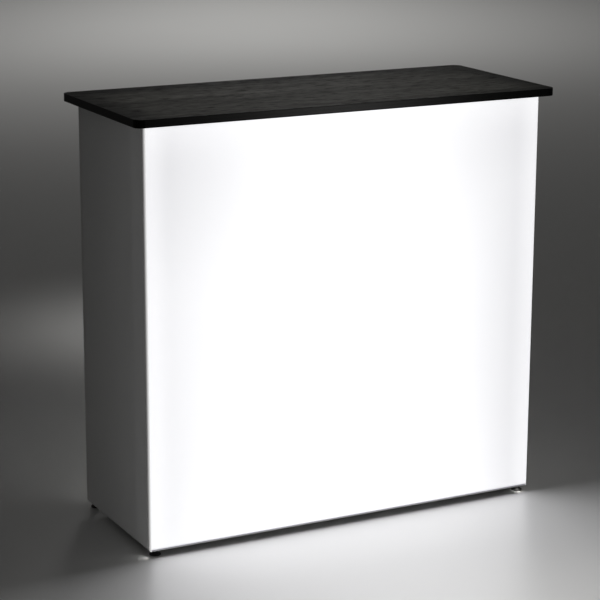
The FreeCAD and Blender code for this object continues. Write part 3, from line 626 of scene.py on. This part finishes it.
def makePad(node):
    low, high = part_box(node)
    centre = (low + high) / 2
    radius = (high.x - low.x) / 2
    bpy.ops.object.select_all(action="DESELECT")
    bpy.ops.mesh.primitive_cylinder_add(
        vertices=pad["sides"], radius=radius, depth=pad["rim"],
        location=(centre.x, centre.y, low.z + pad["rim"] / 2))
    piece = nameNew(node + "_moulded")
    settle(piece)
    # the top draws in to the neck in hollow steps
    pick(piece, "polygons", upFace(low.z + pad["rim"]))
    rise = high.z - low.z - pad["rim"]
    draw = radius - pad["top"]
    for across, up in pad["steps"]:
        bpy.ops.mesh.inset(thickness=draw * across)
        bpy.ops.transform.translate(value=(0, 0, rise * up))
    editDone()
    # the socket for the stem, and the hollow underside
    pick(piece, "polygons", upFace(high.z))
    bpy.ops.mesh.inset(thickness=pad["top"] - stem["peg"] - pad["socketGap"])
    extrudeUp(-pad["socketDepth"])
    editDone()
    pick(piece, "polygons", downFace(low.z))
    bpy.ops.mesh.inset(thickness=pad["hollow"])
    extrudeUp(pad["hollowDepth"])
    editDone()
    roundEdges(piece, pad["edge"], segments=3, degrees=50)
    smooth(piece, degrees=40)
    return piece


def makeCollar(node, centre, padTop, seat):
    # hexagonal, with a peg below that goes into the pad
    tall = seat - padTop
    middle = (seat + padTop) / 2
    bpy.ops.object.select_all(action="DESELECT")
    bpy.ops.mesh.primitive_cylinder_add(
        vertices=6, radius=stem["collar"] / math.sqrt(3), depth=tall, location=(centre.x, centre.y, middle),
        rotation=(0, 0, math.pi / 6))
    collar = nameNew(node + "_turned")
    settle(collar)
    pick(collar, "edges", lambda edge: abs(edgeMiddle(collar, edge).z - middle) > tall / 4)
    bpy.ops.mesh.bevel(offset=stem["chamfer"], segments=2, affect="EDGES")
    editDone()
    pick(collar, "polygons", downFace(padTop))
    bpy.ops.mesh.inset(thickness=stem["collar"] / 2 - stem["chamfer"] - stem["peg"])
    extrudeUp(-stem["pegLength"])
    editDone()
    smooth(collar, degrees=30)
    return collar


def makeThread(node, centre, seat, top):
    # one flank drawn as an open line, then screwed upwards and cut flat at both ends
    bpy.ops.object.select_all(action="DESELECT")
    bpy.ops.mesh.primitive_plane_add(size=stem["pitch"], location=(0, 0, 0))
    thread = nameNew(node + "_thread")
    settle(thread)
    pick(thread, "polygons", lambda face: True)
    bpy.ops.mesh.delete(type="ONLY_FACE")
    editDone()
    pick(thread, "edges", lambda edge: edgeMiddle(thread, edge).x < -stem["pitch"] / 4)
    bpy.ops.mesh.delete(type="EDGE")
    editDone()
    inOrder = sorted(thread.data.vertices, key=lambda vertex: vertex.co.y)
    ends = [vertex for vertex in inOrder if vertex.co.x < 0]
    crest = [vertex for vertex in inOrder if vertex.co.x > 0]
    for vertex, (radius, share) in zip((ends[0], *crest, ends[1]), stem["flank"]):
        vertex.co = (radius, 0, share * stem["pitch"])
    turns = int((top - seat) / stem["pitch"]) + stem["spareTurns"]
    applyModifier(thread, "SCREW", axis="Z", angle=2 * math.pi, screw_offset=stem["pitch"], iterations=turns,
                  steps=stem["turnSteps"], render_steps=stem["turnSteps"], use_merge_vertices=False)
    thread.location = (centre.x, centre.y, seat - stem["spareTurns"] / 2 * stem["pitch"])
    settle(thread)
    pickAll(thread)
    bpy.ops.mesh.remove_doubles(threshold=stem["seam"])
    for height, way in ((seat, -1), (top, 1)):
        bpy.ops.mesh.select_all(action="SELECT")
        bpy.ops.mesh.bisect(plane_co=(0, 0, height), plane_no=(0, 0, way), clear_outer=True, use_fill=True)
    bpy.ops.mesh.select_all(action="SELECT")
    bpy.ops.mesh.normals_make_consistent(inside=False)
    editDone()
    smooth(thread, degrees=30)
    return thread


def makeStem(node):
    low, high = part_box(node)
    centre = (low + high) / 2
    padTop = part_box(node.replace("stem", "pad"))[1].z
    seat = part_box(node.replace("foot_stem", "bottom_block"))[0].z
    collar = makeCollar(node, centre, padTop, seat)
    thread = makeThread(node, centre, seat, high.z)
    return joined(node + "_turned", [collar, thread])


firstFoot = cornerNames[0]
firstPad = makePad(firstFoot + "_foot_pad")
firstStem = makeStem(firstFoot + "_foot_stem")
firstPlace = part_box(firstFoot + "_foot_pad")[0]
for corner in cornerNames:
    step = Matrix.Translation(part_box(corner + "_foot_pad")[0] - firstPlace)
    for first, part, ending in ((firstPad, "_foot_pad", "_moulded"), (firstStem, "_foot_stem", "_turned")):
        piece = first if corner == firstFoot else copied(first, corner + part + ending, step)
        piece.data.materials.append(materials[slotOf[corner + part]])
        standsFor(piece, corner + part)
print("feet modelled and copied")


# screws: one of each kind modelled, then copied to each place in the frame

frameScrew = {
    "node": "frame_screws", "head": 0.0045, "height": 0.0026, "shank": 0.0025,
    "recess": "hexagon", "across": 0.003, "turns": (0,),
}
panelScrew = {
    "node": "panel_screws", "head": 0.0035, "height": 0.0022, "shank": 0.002,
    "recess": "cross", "across": 0.0038, "turns": (0, math.pi / 2),
}
screwForm = {
    "sides": 24, "headShare": 0.8, "cutAbove": 0.0002,
    "dome": 0.7, "recessDepth": 0.55,  # of the head's height
    "shaft": 0.85, "point": 0.15,  # of the length below the head
    "pointSize": 0.7, "slot": 0.22,  # of the shank, and of the width across the cross
}


def screwPlaces(node):
    # seat, outward direction and length of every screw in the node
    probe = copied(cadNodes[node], "probe", Matrix.Identity(4))
    pickAll(probe)
    bpy.ops.mesh.remove_doubles(threshold=mergeGap)
    bpy.ops.mesh.separate(type="LOOSE")
    editDone()
    solids = list(bpy.context.selected_objects)
    places = []
    for solid in solids:
        points = [vertex.co.copy() for vertex in solid.data.vertices]
        low = Vector([min(point[i] for point in points) for i in range(3)])
        high = Vector([max(point[i] for point in points) for i in range(3)])
        middle = (low + high) / 2
        axis = max(range(3), key=lambda i: high[i] - low[i])
        a, b = [i for i in range(3) if i != axis]
        reach = [(point[a] - middle[a]) ** 2 + (point[b] - middle[b]) ** 2 for point in points]
        least = screwForm["headShare"] * max(reach)  # the head's points lie farther out
        headEnds = [point[axis] for point, out in zip(points, reach) if out > least]
        outward = Vector((0, 0, 0))
        outward[axis] = 1 if sum(headEnds) / len(headEnds) > middle[axis] else -1
        seat = middle.copy()
        seat[axis] = min(headEnds) if outward[axis] > 0 else max(headEnds)
        places.append({"seat": seat, "outward": outward, "length": high[axis] - low[axis]})
    deleteOnly(*solids)
    return sorted(places, key=lambda spot: tuple(round(c, 5) for c in spot["seat"]))


def makeScrew(look, length):
    bpy.ops.object.select_all(action="DESELECT")
    bpy.ops.mesh.primitive_cylinder_add(
        vertices=screwForm["sides"], radius=look["head"], depth=look["height"],
        location=(0, 0, look["height"] / 2))
    screw = nameNew(look["node"] + "_one")
    settle(screw)
    pick(screw, "edges", lambda edge: abs(edgeMiddle(screw, edge).z - look["height"]) < levelGap)
    bpy.ops.mesh.bevel(offset=look["height"] * screwForm["dome"], segments=4, affect="EDGES")
    editDone()
    pick(screw, "polygons", downFace(0))
    bpy.ops.mesh.inset(thickness=look["head"] - look["shank"])
    below = length - look["height"]
    extrudeUp(-below * screwForm["shaft"])
    extrudeUp(-below * screwForm["point"])
    bpy.ops.transform.resize(value=(screwForm["pointSize"], screwForm["pointSize"], 1))
    editDone()
    depth = look["height"] * screwForm["recessDepth"]
    place = (0, 0, look["height"] - depth / 2 + screwForm["cutAbove"])
    for turn in look["turns"]:
        bpy.ops.object.select_all(action="DESELECT")
        if look["recess"] == "hexagon":
            bpy.ops.mesh.primitive_cylinder_add(
                vertices=6, radius=look["across"] / math.sqrt(3), depth=depth, location=place)
        else:
            bpy.ops.mesh.primitive_cube_add(size=1, location=place, rotation=(0, 0, turn))
            bpy.context.active_object.scale = (look["across"], look["across"] * screwForm["slot"], depth)
        cutter = nameNew("cutter")
        settle(cutter)
        applyModifier(screw, "BOOLEAN", operation="DIFFERENCE", object=cutter)
        deleteOnly(cutter)
    smooth(screw, degrees=30)
    return screw


def fitScrews(look):
    places = screwPlaces(look["node"])
    screw = makeScrew(look, places[0]["length"])
    twins = []
    for spot in places:
        turn = spot["outward"].to_track_quat("Z", "Y").to_matrix().to_4x4()
        twins.append(copied(screw, look["node"] + "_copy", Matrix.Translation(spot["seat"]) @ turn))
    deleteOnly(screw)
    piece = joined(look["node"] + "_driven", twins)
    piece.data.materials.append(materials[slotOf[look["node"]]])
    standsFor(piece, look["node"])
    return len(places)


frameScrewCount = fitScrews(frameScrew)
panelScrewCount = fitScrews(panelScrew)
print("screws driven:", frameScrewCount, "in the frame,", panelScrewCount, "in the panels")


# fabrics, held taut in the frame's slots

frontCloth = {"cells": (90, 86), "bow": 0.0008, "fullness": 0.7, "edgeRound": 0.4}
sideCloth = {"cells": (34, 86), "bow": 0.0013, "fullness": 0.7, "edgeRound": 0.4}


def stretchCloth(node, outward, look):
    low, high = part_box(node)
    size = high - low
    through = 0 if outward.x else 1  # the axis that the cloth faces
    width = size[1 - through]
    thickness = size[through]
    place = (low + high) / 2
    place[through] = high[through] if outward[through] > 0 else low[through]
    bpy.ops.object.select_all(action="DESELECT")
    columns, rows = look["cells"]
    bpy.ops.mesh.primitive_grid_add(x_subdivisions=columns, y_subdivisions=rows, size=1)
    piece = nameNew(node + "_cloth")
    piece.scale = (width, size.z, 1)
    settle(piece)
    for vertex in piece.data.vertices:  # drawn in a little between its held edges
        span = (1 - (2 * vertex.co.x / width) ** 2) * (1 - (2 * vertex.co.y / size.z) ** 2)
        vertex.co.z = -look["bow"] * max(span, 0) ** look["fullness"]
    piece.rotation_euler = outward.to_track_quat("Z", "Y").to_euler()
    piece.location = place
    settle(piece)
    applyModifier(piece, "SOLIDIFY", thickness=thickness, offset=-1)
    roundEdges(piece, thickness * look["edgeRound"], segments=2, degrees=30)
    smooth(piece)
    piece.data.materials.append(materials[slotOf[node]])
    standsFor(piece, node)


stretchCloth("front_fabric", Vector((0, -1, 0)), frontCloth)
stretchCloth("left_fabric", Vector((-1, 0, 0)), sideCloth)
stretchCloth("right_fabric", Vector((1, 0, 0)), sideCloth)
print("fabrics stretched")


# floor, camera and light

floor = {
    "size": 80.0, "colour": (0.74, 0.74, 0.74), "rough": 0.38, "specular": 0.5,
    "cloud": 0.8, "mottle": 0.97,
}
camera = {
    "place": (-2.2079, -4.2117, 1.7138), "yaw": 27.376, "pitch": 14.368, "roll": 0.212,
    "lens": 124.32, "sensor": 36.0, "reach": 200.0,
}
roomLight = {"colour": (1.0, 0.992, 0.965), "strength": 0.046}
lamps = {
    # place, where it points, width, height, watts, spread in degrees, whether gloss shows it
    "farPool": ((4.7, 8.9, 2.6), (4.85, 9.2, 0.0), 1.4, 5.0, 44.0, 180, False),
    "farLeft": ((3.6, 9.4, 2.6), (3.75, 9.7, 0.0), 1.4, 5.0, 27.0, 180, False),
    "farNear": ((1.6, 6.6, 2.2), (1.6, 6.6, 0.0), 1.4, 3.0, 4.0, 150, False),
    "topSheen": ((3.38, 6.5, 2.9), (0.0, 0.0, 0.95), 1.4, 1.0, 1.95, 120, True),
    "topFill": ((0.0, -0.03, 1.3), (0.0, -0.03, 0.996), 0.96, 0.36, 0.72, 24, False),
    "edgeSheen": ((1.029, -2.2165, 0.6236), (-0.05, -0.2215, 0.987), 0.2, 0.2, 0.2, 40, True),
    "backFill": ((1.6, 3.4, 0.5), (0.0, 0.15, 0.62), 0.8, 0.1, 3.0, 28, False),
    "rightFill": ((3.9, 0.9, 0.5), (0.5, 0.0, 0.72), 0.8, 0.1, 0.8, 24, False),
    "backPool": ((0.35, 1.6, 1.2), (0.35, 1.6, 0.0), 0.5, 0.5, 0.5, 60, True),
    "frontPool": ((-0.1, -1.0, 1.6), (-0.1, -1.0, 0.0), 1.2, 0.6, 1.75, 50, True),
    # what leaks out of the fabric slots under the two front corners
    "leakLeft": ((-0.4985, -0.186, 0.0128), (-0.56, -0.186, 0.0), 0.004, 0.010, 0.0022, 110, True),
    "leakRight": ((0.474, -0.1915, 0.0132), (0.480, -0.186, 0.0), 0.012, 0.002, 0.0012, 110, True),
}
panelGlow = {"gap": 0.004, "foot": 0.010, "watts": 2.75, "spread": 180, "colour": (0.98, 0.98, 1.0)}


def makeFloor():
    bpy.ops.object.select_all(action="DESELECT")
    bpy.ops.mesh.primitive_plane_add(size=floor["size"])
    piece = nameNew("studio_floor")
    material, tree, sockets = newFinish("floor_pale", floor["rough"], Specular_IOR_Level=floor["specular"])
    cloud = noise(tree, placeOn(tree), floor["cloud"])
    tree.links.new(mottled(tree, cloud, floor["colour"], floor["mottle"]), sockets["Base Color"])
    piece.data.materials.append(material)


def makeCamera():
    turn = Matrix.Rotation(math.radians(-camera["yaw"]), 4, "Z")
    turn = turn @ Matrix.Rotation(math.radians(90 - camera["pitch"]), 4, "X")
    turn = turn @ Matrix.Rotation(math.radians(camera["roll"]), 4, "Z")
    bpy.ops.object.camera_add(location=camera["place"], rotation=turn.to_euler())
    eye = nameNew("photo_camera")
    eye.data.lens = camera["lens"]
    eye.data.sensor_width = camera["sensor"]
    eye.data.clip_end = camera["reach"]
    bpy.context.scene.camera = eye


def makeLamp(name, place, target, width, height, watts, spread, inGloss, colour):
    bpy.ops.object.light_add(type="AREA", location=place)
    lamp = nameNew(name)
    lamp.data.shape = "RECTANGLE"
    lamp.data.size = width
    lamp.data.size_y = height
    lamp.data.energy = watts
    lamp.data.color = colour
    lamp.data.spread = math.radians(spread)
    lamp.rotation_euler = (Vector(target) - Vector(place)).to_track_quat("-Z", "Y").to_euler()
    lamp.visible_camera = False
    lamp.visible_glossy = inGloss


def makePanelGlow():
    # what the lit cloth throws on the floor
    low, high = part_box("front_fabric")
    low.z = panelGlow["foot"]
    size = high - low
    place = Vector((0, low.y - panelGlow["gap"], (low.z + high.z) / 2))
    ahead = place + Vector((0, -1, 0))
    makeLamp("panelGlow", place, ahead, size.x, size.z, panelGlow["watts"], panelGlow["spread"], True,
             panelGlow["colour"])


def makeLight():
    world = bpy.data.worlds.new("studio")
    bpy.context.scene.world = world
    world.use_nodes = True
    background = world.node_tree.nodes["Background"].inputs
    background["Color"].default_value = (*roomLight["colour"], 1.0)
    background["Strength"].default_value = roomLight["strength"]
    for name, settings in lamps.items():
        makeLamp(name, *settings, roomLight["colour"])
    makePanelGlow()
    bpy.context.scene.view_settings.view_transform = "Standard"


makeFloor()
makeCamera()
makeLight()
print("floor, camera and light in place")
